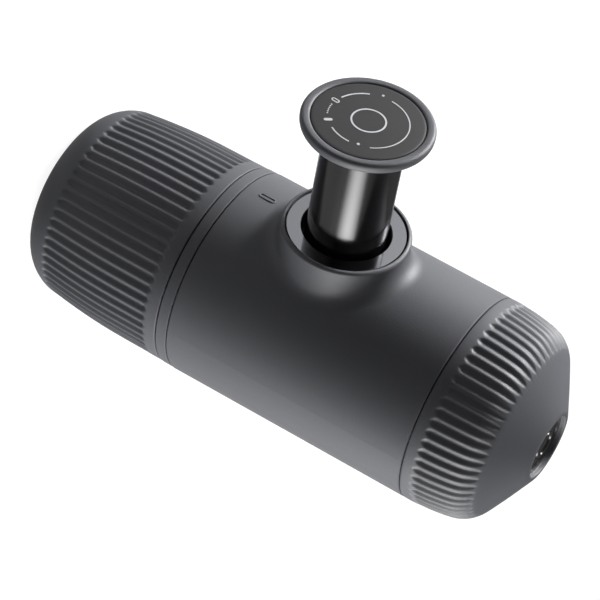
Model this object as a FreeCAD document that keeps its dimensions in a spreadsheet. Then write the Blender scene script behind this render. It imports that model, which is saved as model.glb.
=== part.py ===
import FreeCAD
import Part
import Sketcher

import math
import os
from types import SimpleNamespace


# Handheld manual espresso maker, standing on its cup.
# +Z runs up the main axis and the origin is the centre of the cup's flat base.
# The pump's axis crosses the main axis at right angles, with the knob towards -Y.
# Lengths are in millimetres and angles in degrees.

SIZES = {
    # Cup: straight rim, bowed wall, rounded corner, flat base
    "cup_height": 49.4,
    "cup_step": 0.2,
    "cup_wall": 2.0,
    "cup_floor": 2.6,
    "cup_bow_radius": 180,
    "cup_bow_turn": 8.3,
    "cup_corner_radius": 12,
    "cup_corner_turn": 72,
    "cup_rib_margin": 5.0,
    # Ribs of cup and tank
    "rib_count": 60,
    "groove_width": 2.1,
    "groove_depth": 0.85,
    "groove_run": 1.2,
    "groove_clear": 1.0,
    # Portafilter ring
    "band_height": 3.7,
    "band_step": 0.1,
    "collar_height": 5.5,
    "collar_wall": 2.1,
    "neck_height": 7.5,
    "neck_wall": 1.95,
    "basket_ledge": 7.0,
    "head_shoulder": 1.0,
    "ledge_width": 2.1,
    "thread_play": 0.35,
    # Filter basket
    "basket_depth": 11.0,
    "basket_sheet": 0.6,
    "basket_flange": 0.8,
    "basket_play": 0.3,
    "basket_bevel": 1.6,
    # Outlet head, its valve and its nozzle
    "head_collar_height": 7.4,
    "head_wall": 1.8,
    "head_grip_overhang": 1.6,
    "head_grip_height": 4.9,
    "head_bowl_depth": 5.6,
    "head_length": 31.0,
    "head_tip_radius": 8.5,
    "head_cone_radius": 10.5,
    "head_tip_height": 6.0,
    "outlet_bore": 3.2,
    "valve_seat_radius": 7.5,
    "valve_seat_depth": 15.5,
    "valve_pocket": 3.0,
    "valve_disc": 1.6,
    "valve_dome": 1.0,
    "valve_stem_length": 6.0,
    "valve_tip_radius": 1.5,
    "seal_height": 1.2,
    "seal_play": 0.1,
    "nozzle_flange_radius": 7.5,
    "nozzle_flange": 2.0,
    "nozzle_tip_radius": 4.6,
    "nozzle_length": 6.0,
    "nozzle_bore": 2.2,
    "nozzle_socket": 4.0,
    # Body shell
    "body_height": 75.0,
    "body_radius": 30.8,
    "body_taper": 0.3,
    "body_wall": 2.4,
    "edge_break": 0.25,
    "deck_level": 54.0,
    "deck_thickness": 3.0,
    "pump_offset": 32.6,
    "boss_radius": 17.8,
    "boss_reach": 6.0,
    "boss_rim_round": 0.9,
    "boss_land": 0.1,
    # Group parts under the pump
    "gasket_height": 2.0,
    "gasket_width": 2.6,
    "plate_thickness": 4.5,
    "plate_play": 0.3,
    "dispersion_depth": 1.5,
    "flap_radius": 3.0,
    "flap_thickness": 0.75,
    "screen_seat": 2.6,
    "screen_play": 0.35,
    "screen_sheet": 0.8,
    "screw_pillar": 4.0,
    "screw_head_radius": 2.6,
    "screw_head_height": 1.0,
    "screw_radius": 1.4,
    # Pump frame
    "frame_top_play": 1.9,
    "frame_top_thickness": 4.0,
    "manifold_width": 16.0,
    "manifold_depth": 4.5,
    "manifold_gap": 2.4,
    "web_inside": 16.0,
    "web_thickness": 2.5,
    "web_front": 12.0,
    # Pump cylinder and piston
    "bore_radius": 4.2,
    "cylinder_wall": 2.0,
    "cylinder_socket": 2.5,
    "socket_play": 0.05,
    "cap_thickness": 2.0,
    "rod_radius": 2.6,
    "rod_play": 0.08,
    "piston_head": 5.0,
    "piston_head_play": 0.2,
    "piston_end_gap": 0.5,
    "seal_lip": 2.4,
    "seal_groove": 1.0,
    "seal_lip_play": 0.05,
    "stroke": 34.2,
    # Collar, sleeve and knob
    "collar_inset": 0.4,
    "boss_rim_width": 1.05,
    "collar_plate": 2.4,
    "collar_groove": 0.35,
    "collar_gap": 1.2,
    "collar_gap_depth": 7.0,
    "collar_skirt_wall": 2.2,
    "collar_skirt_length": 15.0,
    "skirt_play": 0.2,
    "wiper_height": 2.0,
    "sleeve_radius": 11.0,
    "sleeve_wall": 1.8,
    "sleeve_play": 0.06,
    "sleeve_end_gap": 1.5,
    "knob_gap": 0.3,
    "knob_thickness": 3.6,
    "knob_round": 1.7,
    "knob_rim_width": 2.55,
    "knob_plate_thickness": 1.2,
    "knob_plate_play": 0.2,
    "knob_hub_depth": 5.0,
    "hub_play": 0.1,
    "rod_flange_radius": 6.6,
    "rod_flange": 1.5,
    "rod_pin_radius": 1.7,
    "spring_radius": 6.0,
    "spring_wire": 0.9,
    # Water tank
    "tank_height": 28.2,
    "tank_straight": 1.15,
    "tank_wall": 2.2,
    "tank_bow_radius": 62,
    "tank_bow_turn": 12,
    "tank_shoulder_radius": 10,
    "tank_cone_turn": 61.5,
    "tank_tip_rim": 1.2,
    "recess_depth": 1.5,
    "recess_floor": 1.4,
    "tank_rib_start": 3.6,
    "tank_rib_turn": 57,
    "tank_neck_wall": 2.2,
    "tank_ledge": 2.4,
    "tank_seal_height": 1.5,
    # Fittings on the deck inside the tank
    "deck_screw_circle": 17.0,
    "deck_screw_head": 2.8,
    "deck_screw_height": 1.8,
    "deck_screw_shank": 1.5,
    "deck_screw_grip": 6.0,
    "inlet_centre": 19.0,
    "inlet_hole": 3.0,
    "duckbill_depth": 2.0,
    "duckbill_tip": 1.45,
    "filter_radius": 5.0,
    "filter_height": 1.5,
    "vent_centre": 18.0,
    "vent_radius": 4.2,
    "vent_height": 1.4,
    "vent_crown": 2.1,
    "vent_stem": 1.6,
}

# How close an edge lies to the place where it is looked for
FIND_WITHIN = 0.01


class Size:
    """A length together with the sheet formula that gives it."""

    def __init__(self, value, formula):
        self.value = value
        self.formula = formula

    def combine(self, other, sign, value):
        return Size(value, f"({self.formula} {sign} {other.formula})")

    def __add__(self, other):
        other = as_size(other)
        return self.combine(other, "+", self.value + other.value)

    def __sub__(self, other):
        other = as_size(other)
        return self.combine(other, "-", self.value - other.value)

    def __mul__(self, other):
        other = as_size(other)
        return self.combine(other, "*", self.value * other.value)

    def __truediv__(self, other):
        other = as_size(other)
        return self.combine(other, "/", self.value / other.value)

    def __neg__(self):
        return Size(-self.value, f"(-1 * {self.formula})")


def as_size(number):
    if isinstance(number, Size):
        return number
    return Size(float(number), str(number))


def sine(angle):
    return Size(math.sin(math.radians(angle.value)), f"sin({angle.formula} * 1 deg)")


def cosine(angle):
    return Size(math.cos(math.radians(angle.value)), f"cos({angle.formula} * 1 deg)")


def make_sheet(doc):
    """The sheet of driving sizes, and the same sizes as attributes for the outlines."""
    sheet = doc.addObject("Spreadsheet::Sheet", "Sizes")
    for row, (name, number) in enumerate(SIZES.items(), start=1):
        sheet.set(f"A{row}", name)
        sheet.set(f"B{row}", str(number))
        sheet.setAlias(f"B{row}", name)
    doc.recompute()
    return SimpleNamespace(**{name: Size(float(number), f"Sizes.{name}")
                              for name, number in SIZES.items()})


# Outlines ---------------------------------------------------------------------------
# An outline is a list of corners (radius, height); a Bend is a corner reached by an arc.

class Bend:
    """A corner reached along an arc of the given radius; turn 1 is anticlockwise."""

    def __init__(self, across, up, radius, turn):
        self.corner = (as_size(across), as_size(up))
        self.radius = as_size(radius)
        self.turn = turn


def corner_of(step):
    if isinstance(step, Bend):
        return step.corner
    return as_size(step[0]), as_size(step[1])


def vector(corner):
    return FreeCAD.Vector(corner[0].value, corner[1].value, 0)


def arc_between(first, last, radius, turn):
    """The shorter arc from first to last, with the ends' order that Sketcher keeps."""
    chord = last - first
    half = chord.Length / 2
    rise = math.sqrt(max(radius ** 2 - half ** 2, 0))
    side = FreeCAD.Vector(-chord.y, chord.x, 0).normalize() * turn
    centre = first + chord * 0.5 + side * rise
    start, end = (first, last) if turn > 0 else (last, first)
    start_angle = math.atan2(start.y - centre.y, start.x - centre.x)
    end_angle = math.atan2(end.y - centre.y, end.x - centre.x)
    circle = Part.Circle(centre, FreeCAD.Vector(0, 0, 1), radius)
    return Part.ArcOfCircle(circle, start_angle, end_angle)


def bind(sketch, kind, parts, size):
    """Adds a dimension and ties it to the sheet."""
    number = sketch.addConstraint(Sketcher.Constraint(kind, *parts, size.value))
    sketch.setExpression(f"Constraints[{number}]", size.formula)


def place_point(sketch, edge, end, corner):
    across, up = corner
    if across.value == 0:
        sketch.addConstraint(Sketcher.Constraint("PointOnObject", edge, end, -2))
    else:
        bind(sketch, "DistanceX", (-1, 1, edge, end), across)
    if up.value == 0:
        sketch.addConstraint(Sketcher.Constraint("PointOnObject", edge, end, -1))
    else:
        bind(sketch, "DistanceY", (-1, 1, edge, end), up)


def draw(sketch, outline, closed=True):
    """Draws an outline corner by corner, with every corner and arc tied to the sheet."""
    ends = []
    last_step = len(outline) if closed else len(outline) - 1
    for index in range(last_step):
        step = outline[(index + 1) % len(outline)]
        first = vector(corner_of(outline[index]))
        last = vector(corner_of(step))
        if isinstance(step, Bend):
            arc = arc_between(first, last, step.radius.value, step.turn)
            edge = sketch.addGeometry(arc, False)
            bind(sketch, "Radius", (edge,), step.radius)
            ends.append((edge, 1, 2) if step.turn > 0 else (edge, 2, 1))
        else:
            edge = sketch.addGeometry(Part.LineSegment(first, last), False)
            ends.append((edge, 1, 2))
    for index, (edge, start, _) in enumerate(ends):
        place_point(sketch, edge, start, corner_of(outline[index]))
        if index > 0 or closed:
            before = ends[index - 1]
            joint = Sketcher.Constraint("Coincident", before[0], before[2], edge, start)
            sketch.addConstraint(joint)
    if not closed:
        edge, _, end = ends[-1]
        place_point(sketch, edge, end, corner_of(outline[-1]))


def plane_of(body, role):
    return next(item for item in body.Origin.OriginFeatures if item.Role == role)


def new_sketch(body, role, name):
    sketch = body.newObject("Sketcher::SketchObject", f"{body.Name}_{name}")
    sketch.AttachmentSupport = [(plane_of(body, role), "")]
    sketch.MapMode = "FlatFace"
    return sketch


def main_sketch(body, name):
    """A sketch whose upright axis is the piece's own Z axis."""
    return new_sketch(body, "XZ_Plane", name)


def pump_sketch(body, name):
    """A sketch in the upright plane through the pump, its height axis towards the knob."""
    sketch = new_sketch(body, "YZ_Plane", name)
    turned = FreeCAD.Rotation(FreeCAD.Vector(0, 0, 1), 90)
    sketch.AttachmentOffset = FreeCAD.Placement(FreeCAD.Vector(0, 0, 0), turned)
    sketch.setExpression("AttachmentOffset.Base.y", "Sizes.pump_offset")
    return sketch


def turn(body, name, outline, cut=False, sketch=None):
    """Turns an outline round its sketch's height axis, as material or as a cut."""
    sketch = sketch or main_sketch(body, name)
    draw(sketch, outline)
    kind = "PartDesign::Groove" if cut else "PartDesign::Revolution"
    feature = body.newObject(kind, f"{body.Name}_{name}_turn")
    feature.Profile = sketch
    feature.ReferenceAxis = (sketch, ["V_Axis"])
    feature.Angle = 360
    body.Document.recompute()
    return feature


def new_body(doc, label, level=None):
    """A body with its own label, set at a level on the main axis."""
    body = doc.addObject("PartDesign::Body", label)
    body.Label = label
    if level is not None:
        body.setExpression("Placement.Base.z", level.formula)
    return body


def pump_body(doc, label, size):
    """A body whose own Z axis is the pump's axis, pointing at the knob."""
    body = doc.addObject("PartDesign::Body", label)
    body.Label = label
    turned = FreeCAD.Rotation(FreeCAD.Vector(1, 0, 0), 90)
    body.Placement = FreeCAD.Placement(FreeCAD.Vector(0, 0, 0), turned)
    body.setExpression("Placement.Base.z", pump_level(size).formula)
    return body


def ring(inner, outer, low, high):
    """The outline of a plain ring."""
    return [(inner, low), (outer, low), (outer, high), (inner, high)]


def disc(radius, low, high):
    """The outline of a plain disc."""
    return [(0, low), (radius, low), (radius, high), (0, high)]


# Levels on the main axis ------------------------------------------------------------

def body_level(size):
    return size.cup_height + size.band_height


def tank_level(size):
    return body_level(size) + size.body_height


def pump_level(size):
    return body_level(size) + size.pump_offset


def basket_level(size):
    return size.cup_height + size.basket_ledge + size.basket_flange


def plate_level(size):
    """Underside of the group plate, on top of the gasket, in the body's own frame."""
    return basket_level(size) + size.gasket_height - body_level(size)


def deck_top(size):
    return size.deck_level + size.deck_thickness


# Distances along the pump's axis, towards the knob -----------------------------------

def boss_top(size):
    return size.body_radius + size.boss_reach


def collar_face(size):
    return boss_top(size) - size.collar_inset


def manifold_back(size):
    return -(socket_radius(size) - size.manifold_gap)


def manifold_face(size):
    return manifold_back(size) + size.manifold_depth


def cylinder_back(size):
    return manifold_face(size) - size.cylinder_socket


def piston_front(size):
    """Front of the piston head, which the whole stroke brings close to the bore's end."""
    return cylinder_back(size) + size.piston_end_gap + size.stroke + size.piston_head


def cylinder_front(size):
    return piston_front(size) + size.cap_thickness


def sleeve_foot(size):
    return manifold_face(size) + size.stroke + size.sleeve_end_gap


def knob_underside(size):
    return collar_face(size) + size.knob_gap + size.stroke


def knob_top(size):
    return knob_underside(size) + size.knob_thickness


def knob_recess(size):
    return knob_top(size) - size.knob_plate_thickness


def rod_top(size):
    return knob_underside(size) - size.knob_hub_depth


# Radii that several pieces share ----------------------------------------------------

def cup_outside(size):
    return size.body_radius - size.cup_step


def cup_inside(size):
    return cup_outside(size) - size.cup_wall


def neck_outside(size):
    return cup_inside(size) - size.thread_play


def neck_inside(size):
    return neck_outside(size) - size.neck_wall


def socket_radius(size):
    return size.body_radius - size.body_wall


def collar_outside(size):
    return socket_radius(size) - size.thread_play


def collar_inside(size):
    return collar_outside(size) - size.collar_wall


def flange_radius(size):
    return collar_inside(size) - size.basket_play


def ledge_radius(size):
    return collar_inside(size) - size.ledge_width


def basket_outside(size):
    return ledge_radius(size) - size.basket_play


def head_collar_radius(size):
    return neck_inside(size) - size.thread_play


def head_bowl_radius(size):
    return head_collar_radius(size) - size.head_wall


def tank_outside(size):
    return size.body_radius - size.body_taper


def tank_socket_radius(size):
    return tank_outside(size) - size.body_wall


def tank_neck_outside(size):
    return tank_socket_radius(size) - size.thread_play


def tank_neck_inside(size):
    return tank_neck_outside(size) - size.tank_neck_wall


def screen_radius(size):
    """The screen fits inside the gasket."""
    gasket_inside = flange_radius(size) - size.seal_play - size.gasket_width
    return gasket_inside - size.screen_play


def dispersion_radius(size):
    return screen_radius(size) - size.screen_seat


def knob_plate_radius(size):
    return size.boss_radius - size.knob_rim_width - size.knob_plate_play


def skirt_outside(size):
    return size.sleeve_radius + size.collar_gap + size.collar_skirt_wall


def cylinder_outside(size):
    return size.bore_radius + size.cylinder_wall


# Ribs -------------------------------------------------------------------------------

def cut_ribs(body, size, outline):
    """Sinks one groove into the wall along the outline and repeats it all the way round."""
    sketch = main_sketch(body, "groove")
    draw(sketch, outline)
    groove = body.newObject("PartDesign::Pocket", f"{body.Name}_groove_cut")
    groove.Profile = sketch
    groove.SideType = "Symmetric"
    groove.setExpression("Length", size.groove_width.formula)
    body.Document.recompute()
    pattern = body.newObject("PartDesign::PolarPattern", f"{body.Name}_ribs")
    pattern.Originals = [groove]
    pattern.Axis = (plane_of(body, "Z_Axis"), [""])
    pattern.Angle = 360
    pattern.setExpression("Occurrences", size.rib_count.formula)
    body.Tip = pattern
    body.Document.recompute()


def on_arc(centre, radius, angle):
    """The point of an arc at an angle above the horizontal."""
    return centre[0] + radius * cosine(angle), centre[1] + radius * sine(angle)


# Cup side ---------------------------------------------------------------------------

def cup_curve(size, inset):
    """The cup's wall, set in from the outside: base edge, corner, bow and straight rim."""
    bow = size.cup_bow_radius - inset
    corner = size.cup_corner_radius - inset
    gap = size.cup_bow_radius - size.cup_corner_radius
    bow_across = cup_outside(size) - size.cup_bow_radius
    corner_centre = (bow_across + gap * cosine(size.cup_bow_turn),
                     size.cup_corner_radius * sine(size.cup_corner_turn))
    bow_centre = (bow_across, corner_centre[1] + gap * sine(size.cup_bow_turn))
    return SimpleNamespace(
        corner=corner,
        base=on_arc(corner_centre, corner, -size.cup_corner_turn),
        middle=on_arc(corner_centre, corner, -size.cup_corner_turn / 2),
        shoulder=on_arc(corner_centre, corner, -size.cup_bow_turn),
        bow=on_arc(bow_centre, bow, -size.cup_bow_turn / 2),
        straight=on_arc(bow_centre, bow, as_size(0)),
    )


def make_cup(doc, size):
    body = new_body(doc, "cup", as_size(0))
    outside = cup_curve(size, as_size(0))
    inside = cup_curve(size, size.cup_wall)
    edge = size.edge_break
    turn(body, "wall", [
        (0, 0),
        outside.base,
        Bend(*outside.shoulder, outside.corner, 1),
        outside.bow,
        outside.straight,
        (cup_outside(size), size.cup_height - edge),
        (cup_outside(size) - edge, size.cup_height),
        (cup_inside(size), size.cup_height),
        inside.straight,
        inside.bow,
        inside.shoulder,
        inside.middle,
        (inside.base[0], size.cup_floor),
        (0, size.cup_floor),
    ])
    floor = cup_curve(size, size.groove_depth)
    clear = cup_curve(size, -size.groove_clear)
    top = size.cup_height - size.cup_rib_margin
    cut_ribs(body, size, [
        clear.shoulder,
        clear.bow,
        (clear.straight[0], top),
        (cup_outside(size), top),
        (floor.straight[0], top - size.groove_run),
        floor.bow,
        (floor.shoulder[0], floor.shoulder[1] + size.groove_run),
        outside.shoulder,
    ])
    return body


def make_portafilter(doc, size):
    body = new_body(doc, "portafilter", size.cup_height)
    edge = size.edge_break
    top = size.band_height + size.collar_height
    band = size.body_radius - size.band_step
    outline = [
        (neck_inside(size), -size.neck_height),
        (neck_outside(size), -size.neck_height),
        (neck_outside(size), 0),
        (band - edge, 0),
        (band, edge),
        (band, size.band_height - edge),
        (band - edge, size.band_height),
        (collar_outside(size), size.band_height),
        (collar_outside(size), top),
        (collar_inside(size), top),
        (collar_inside(size), size.basket_ledge),
        (ledge_radius(size), size.basket_ledge),
        (ledge_radius(size), size.head_shoulder),
        (neck_inside(size), size.head_shoulder),
    ]
    turn(body, "ring", outline)
    return body


def make_filter_basket(doc, size):
    body = new_body(doc, "filter_basket", basket_level(size))
    outside = basket_outside(size)
    inside = outside - size.basket_sheet
    corner = size.basket_bevel
    inner_corner = corner - size.basket_sheet / 2
    floor = size.basket_sheet - size.basket_depth
    outline = [
        (0, -size.basket_depth),
        (outside - corner, -size.basket_depth),
        (outside, corner - size.basket_depth),
        (outside, -size.basket_flange),
        (flange_radius(size), -size.basket_flange),
        (flange_radius(size), 0),
        (inside, 0),
        (inside, floor + inner_corner),
        (inside - inner_corner, floor),
        (0, floor),
    ]
    turn(body, "sheet", outline)
    return body


def head_level(size):
    return size.cup_height + size.head_shoulder - size.seal_height


def make_outlet_head(doc, size):
    body = new_body(doc, "outlet_head", head_level(size))
    collar = head_collar_radius(size)
    bowl = head_bowl_radius(size)
    grip = collar + size.head_grip_overhang
    grip_top = -size.head_collar_height
    grip_foot = grip_top - size.head_grip_height
    seat = -size.valve_seat_depth
    spread = grip - size.head_cone_radius
    drop = grip_foot - size.head_tip_height + size.head_length
    bell = [(size.head_cone_radius + spread * cosine(as_size(angle)),
             grip_foot - drop * sine(as_size(angle))) for angle in (90, 60, 30, 0)]
    outline = [
        (bowl, 0),
        (bowl, -size.head_bowl_depth),
        (size.valve_seat_radius, seat),
        (size.valve_seat_radius, seat - size.valve_pocket),
        (size.outlet_bore, seat - size.valve_pocket),
        (size.outlet_bore, -size.head_length),
        (size.head_tip_radius, -size.head_length),
        *bell,
        (grip, grip_top),
        (collar, grip_top),
        (collar, 0),
    ]
    turn(body, "shell", outline)
    return body


def make_outlet_seal(doc, size):
    body = new_body(doc, "outlet_seal", head_level(size))
    inner = head_bowl_radius(size) + size.seal_play
    outer = head_collar_radius(size) - size.seal_play
    turn(body, "ring", ring(inner, outer, 0, size.seal_height))
    return body


def make_crema_valve(doc, size):
    seat = size.valve_seat_depth + size.valve_pocket
    body = new_body(doc, "crema_valve", head_level(size) - seat)
    disc_radius = size.valve_seat_radius - size.seal_play
    stem = size.outlet_bore - size.seal_play
    outline = [
        (0, -size.valve_stem_length),
        (size.valve_tip_radius, -size.valve_stem_length),
        (stem, -size.valve_disc),
        (stem, 0),
        (disc_radius, 0),
        (disc_radius, size.valve_disc),
        (stem, size.valve_disc),
        (0, size.valve_disc + size.valve_dome),
    ]
    turn(body, "rubber", outline)
    return body


def make_nozzle(doc, size):
    body = new_body(doc, "nozzle", head_level(size) - size.head_length)
    flange = size.nozzle_flange
    outline = [
        (size.nozzle_bore, -size.nozzle_length),
        (size.nozzle_tip_radius, -size.nozzle_length),
        (size.nozzle_flange_radius, -flange),
        (size.nozzle_flange_radius, 0),
        (size.outlet_bore - size.seal_play, 0),
        (size.outlet_bore - size.seal_play, size.nozzle_socket),
        (size.nozzle_bore, size.nozzle_socket),
    ]
    turn(body, "spout", outline)
    return body


# Body -------------------------------------------------------------------------------

def boss_edges(shape, size, at_rim):
    """The boss's round edges: its rim, or the curve where it leaves the body's wall."""
    radius = size.boss_radius.value
    rim = boss_top(size).value
    found = []
    for number, edge in enumerate(shape.Edges, start=1):
        points = edge.discretize(5)
        on_boss = all(abs(math.hypot(point.x, point.z - size.pump_offset.value) - radius)
                      < FIND_WITHIN for point in points)
        on_rim = all(abs(point.y + rim) < FIND_WITHIN for point in points)
        straight = isinstance(edge.Curve, Part.Line)
        if on_boss and not straight and on_rim == at_rim:
            found.append(f"Edge{number}")
    return found


def round_edges(body, name, base, edges, radius):
    fillet = body.newObject("PartDesign::Fillet", f"{body.Name}_{name}")
    fillet.Base = (base, edges)
    fillet.setExpression("Radius", radius.formula)
    body.Document.recompute()
    return fillet


def make_body_shell(doc, size):
    body = new_body(doc, "body_shell", body_level(size))
    edge = size.edge_break
    turn(body, "tube", [
        (0, 0),
        (size.body_radius - edge, 0),
        (size.body_radius, edge),
        (tank_outside(size), size.body_height - edge),
        (tank_outside(size) - edge, size.body_height),
        (0, size.body_height),
    ])
    boss = turn(body, "boss", disc(size.boss_radius, 0, boss_top(size)),
                sketch=pump_sketch(body, "boss"))
    blend = round_edges(body, "blend", boss, boss_edges(boss.Shape, size, False),
                        size.boss_reach - size.boss_rim_round - size.boss_land)
    round_edges(body, "rim", blend, boss_edges(blend.Shape, size, True),
                size.boss_rim_round)
    below = disc(socket_radius(size), 0, size.deck_level)
    turn(body, "inside", below, cut=True)
    turn(body, "tank_socket", disc(tank_socket_radius(size), deck_top(size),
                                   size.body_height), cut=True)
    skirt_hole = skirt_outside(size) + size.skirt_play
    seat = collar_face(size) - size.collar_plate
    rim_inside = size.boss_radius - size.boss_rim_width
    turn(body, "collar_seat", [
        (0, 0),
        (skirt_hole, 0),
        (skirt_hole, seat),
        (rim_inside, seat),
        (rim_inside, boss_top(size)),
        (0, boss_top(size)),
    ], cut=True, sketch=pump_sketch(body, "collar_seat"))
    deck_holes(body, size, size.deck_level, size.deck_thickness)
    return body


def hole_sketch(body, name, holes):
    """A flat sketch of round holes, each (across, forward, radius) on the deck."""
    sketch = new_sketch(body, "XY_Plane", name)
    for across, forward, radius in holes:
        centre = FreeCAD.Vector(across.value, forward.value, 0)
        circle = Part.Circle(centre, FreeCAD.Vector(0, 0, 1), radius.value)
        edge = sketch.addGeometry(circle, False)
        place_point(sketch, edge, 3, (across, forward))
        bind(sketch, "Radius", (edge,), radius)
    return sketch


def screw_places(size):
    """Centres of the deck screws, at the corners of a square."""
    reach = size.deck_screw_circle * Size(math.sqrt(0.5), "sqrt(0.5)")
    return [(reach, reach), (-reach, reach), (-reach, -reach), (reach, -reach)]


def deck_holes(body, size, level, depth):
    """Holes for the deck's screws, inlet and vent, upwards from a level."""
    holes = [(across, forward, size.deck_screw_shank)
             for across, forward in screw_places(size)]
    holes.append((as_size(0), size.inlet_centre, size.inlet_hole))
    holes.append((as_size(0), -size.vent_centre, size.vent_stem))
    sketch = hole_sketch(body, "deck_holes", holes)
    sketch.setExpression("AttachmentOffset.Base.z", level.formula)
    pocket = body.newObject("PartDesign::Pocket", f"{body.Name}_deck_holes_cut")
    pocket.Profile = sketch
    pocket.Reversed = True
    pocket.setExpression("Length", depth.formula)
    body.Document.recompute()


def make_pump_frame(doc, size):
    """Group plate, pump manifold and top plate in one moulding, hung from the deck."""
    body = new_body(doc, "pump_frame", body_level(size))
    low = plate_level(size)
    plate_top = low + size.plate_thickness
    ceiling = low + size.dispersion_depth
    top_low = size.deck_level - size.frame_top_thickness
    turn(body, "group_plate", [
        (0, low),
        (size.screw_pillar, low),
        (size.screw_pillar, ceiling),
        (dispersion_radius(size), ceiling),
        (dispersion_radius(size), low),
        (socket_radius(size) - size.plate_play, low),
        (socket_radius(size) - size.plate_play, plate_top),
        (0, plate_top),
    ])
    add_column(body, size, "manifold", -size.manifold_width / 2, size.manifold_width / 2,
               -manifold_face(size), -manifold_back(size))
    for name, side in (("left_web", -1), ("right_web", 1)):
        inside = size.web_inside * side
        outside = (size.web_inside + size.web_thickness) * side
        low_x, high_x = (outside, inside) if side < 0 else (inside, outside)
        add_column(body, size, name, low_x, high_x, -size.web_front, size.web_front)
    turn(body, "top_plate", disc(socket_radius(size) - size.frame_top_play, top_low,
                                 size.deck_level))
    turn(body, "cylinder_socket",
         disc(cylinder_outside(size) + size.socket_play, cylinder_back(size),
              manifold_face(size)),
         cut=True, sketch=pump_sketch(body, "cylinder_socket"))
    deck_holes(body, size, top_low, size.frame_top_thickness)
    return body


def add_column(body, size, name, left, right, front, back):
    """An upright block between the group plate and the deck."""
    sketch = new_sketch(body, "XY_Plane", name)
    low = plate_level(size) + size.plate_thickness
    sketch.setExpression("AttachmentOffset.Base.z", low.formula)
    draw(sketch, [(left, front), (right, front), (right, back), (left, back)])
    pad = body.newObject("PartDesign::Pad", f"{body.Name}_{name}_pad")
    pad.Profile = sketch
    pad.setExpression("Length", (size.deck_level - low).formula)
    body.Document.recompute()


def make_deck_screws(doc, size):
    """Four identical screws that hold the pump frame under the deck."""
    screws = []
    level = body_level(size) + deck_top(size)
    for number, (across, forward) in enumerate(screw_places(size), start=1):
        head = doc.addObject("Part::Cylinder", f"screw_head_{number}")
        head.setExpression("Radius", size.deck_screw_head.formula)
        head.setExpression("Height", size.deck_screw_height.formula)
        shank = doc.addObject("Part::Cylinder", f"screw_shank_{number}")
        grip = size.deck_screw_grip
        shank.setExpression("Radius", (size.deck_screw_shank - size.socket_play).formula)
        shank.setExpression("Height", (grip + size.deck_screw_height / 2).formula)
        shank.setExpression("Placement.Base.z", (-grip).formula)
        screw = doc.addObject("Part::Fuse", f"deck_screw_{number}")
        screw.Base = head
        screw.Tool = shank
        screw.setExpression("Placement.Base.x", across.formula)
        screw.setExpression("Placement.Base.y", forward.formula)
        screws.append(screw)
    group = doc.addObject("Part::Compound", "deck_screws")
    group.Label = "deck_screws"
    group.Links = screws
    group.setExpression("Placement.Base.z", level.formula)
    return group


def make_group_gasket(doc, size):
    body = new_body(doc, "group_gasket", basket_level(size))
    outer = flange_radius(size) - size.seal_play
    turn(body, "ring", ring(outer - size.gasket_width, outer, 0, size.gasket_height))
    return body


def make_shower_screen(doc, size):
    body = new_body(doc, "shower_screen", body_level(size) + plate_level(size))
    turn(body, "sheet", ring(size.screw_radius + size.seal_play, screen_radius(size),
                             -size.screen_sheet, 0))
    return body


def make_screen_screw(doc, size):
    level = body_level(size) + plate_level(size) - size.screen_sheet
    body = new_body(doc, "screen_screw", level)
    turn(body, "screw", [
        (0, -size.screw_head_height),
        (size.screw_head_radius, -size.screw_head_height),
        (size.screw_head_radius, 0),
        (size.screw_radius, 0),
        (size.screw_radius, size.screen_sheet),
        (0, size.screen_sheet),
    ])
    return body


def make_outlet_valve(doc, size):
    """Rubber flap over the pump's outlet, half way out above the shower screen."""
    ceiling = plate_level(size) + size.dispersion_depth
    body = new_body(doc, "outlet_valve", body_level(size) + ceiling)
    body.setExpression("Placement.Base.y", (dispersion_radius(size) / 2).formula)
    turn(body, "flap", disc(size.flap_radius, -size.flap_thickness, 0))
    return body


def make_inlet_valve(doc, size):
    """Rubber duckbill in the deck's inlet hole."""
    body = new_body(doc, "inlet_valve", body_level(size) + size.deck_level)
    body.setExpression("Placement.Base.y", size.inlet_centre.formula)
    radius = size.inlet_hole - size.seal_play
    turn(body, "rubber", [
        (0, -size.duckbill_depth),
        (size.duckbill_tip, -size.duckbill_depth),
        (radius, 0),
        (radius, size.deck_thickness),
        (0, size.deck_thickness),
    ])
    return body


def make_inlet_filter(doc, size):
    """Mesh cap over the inlet, standing on the deck."""
    body = new_body(doc, "inlet_filter", body_level(size) + deck_top(size))
    body.setExpression("Placement.Base.y", size.inlet_centre.formula)
    turn(body, "mesh", disc(size.filter_radius, 0, size.filter_height))
    return body


def make_air_valve(doc, size):
    """Rubber mushroom that lets air into the tank as the water leaves it."""
    body = new_body(doc, "air_valve", body_level(size) + deck_top(size))
    body.setExpression("Placement.Base.y", (-size.vent_centre).formula)
    stem = size.vent_stem - size.seal_play
    turn(body, "rubber", [
        (0, -size.deck_thickness),
        (stem, -size.deck_thickness),
        (stem, 0),
        (size.vent_radius, 0),
        (size.vent_crown, size.vent_height),
        (0, size.vent_height),
    ])
    return body


# Pump -------------------------------------------------------------------------------

def make_piston_collar(doc, size):
    """Bright ring round the sleeve, with the skirt that guides it."""
    body = pump_body(doc, "piston_collar", size)
    face = collar_face(size)
    seat = face - size.collar_plate
    outside = size.boss_radius - size.boss_rim_width - size.collar_groove
    gap = size.sleeve_radius + size.collar_gap
    guide = size.sleeve_radius + size.sleeve_play
    gap_floor = face - size.collar_gap_depth
    guide_top = gap_floor - size.wiper_height
    foot = seat - size.collar_skirt_length
    edge = size.edge_break
    turn(body, "ring", [
        (guide, foot),
        (skirt_outside(size), foot),
        (skirt_outside(size), seat),
        (outside, seat),
        (outside, face - edge),
        (outside - edge, face),
        (gap + edge, face),
        (gap, face - edge),
        (gap, guide_top),
        (guide, guide_top),
    ])
    return body


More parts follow.
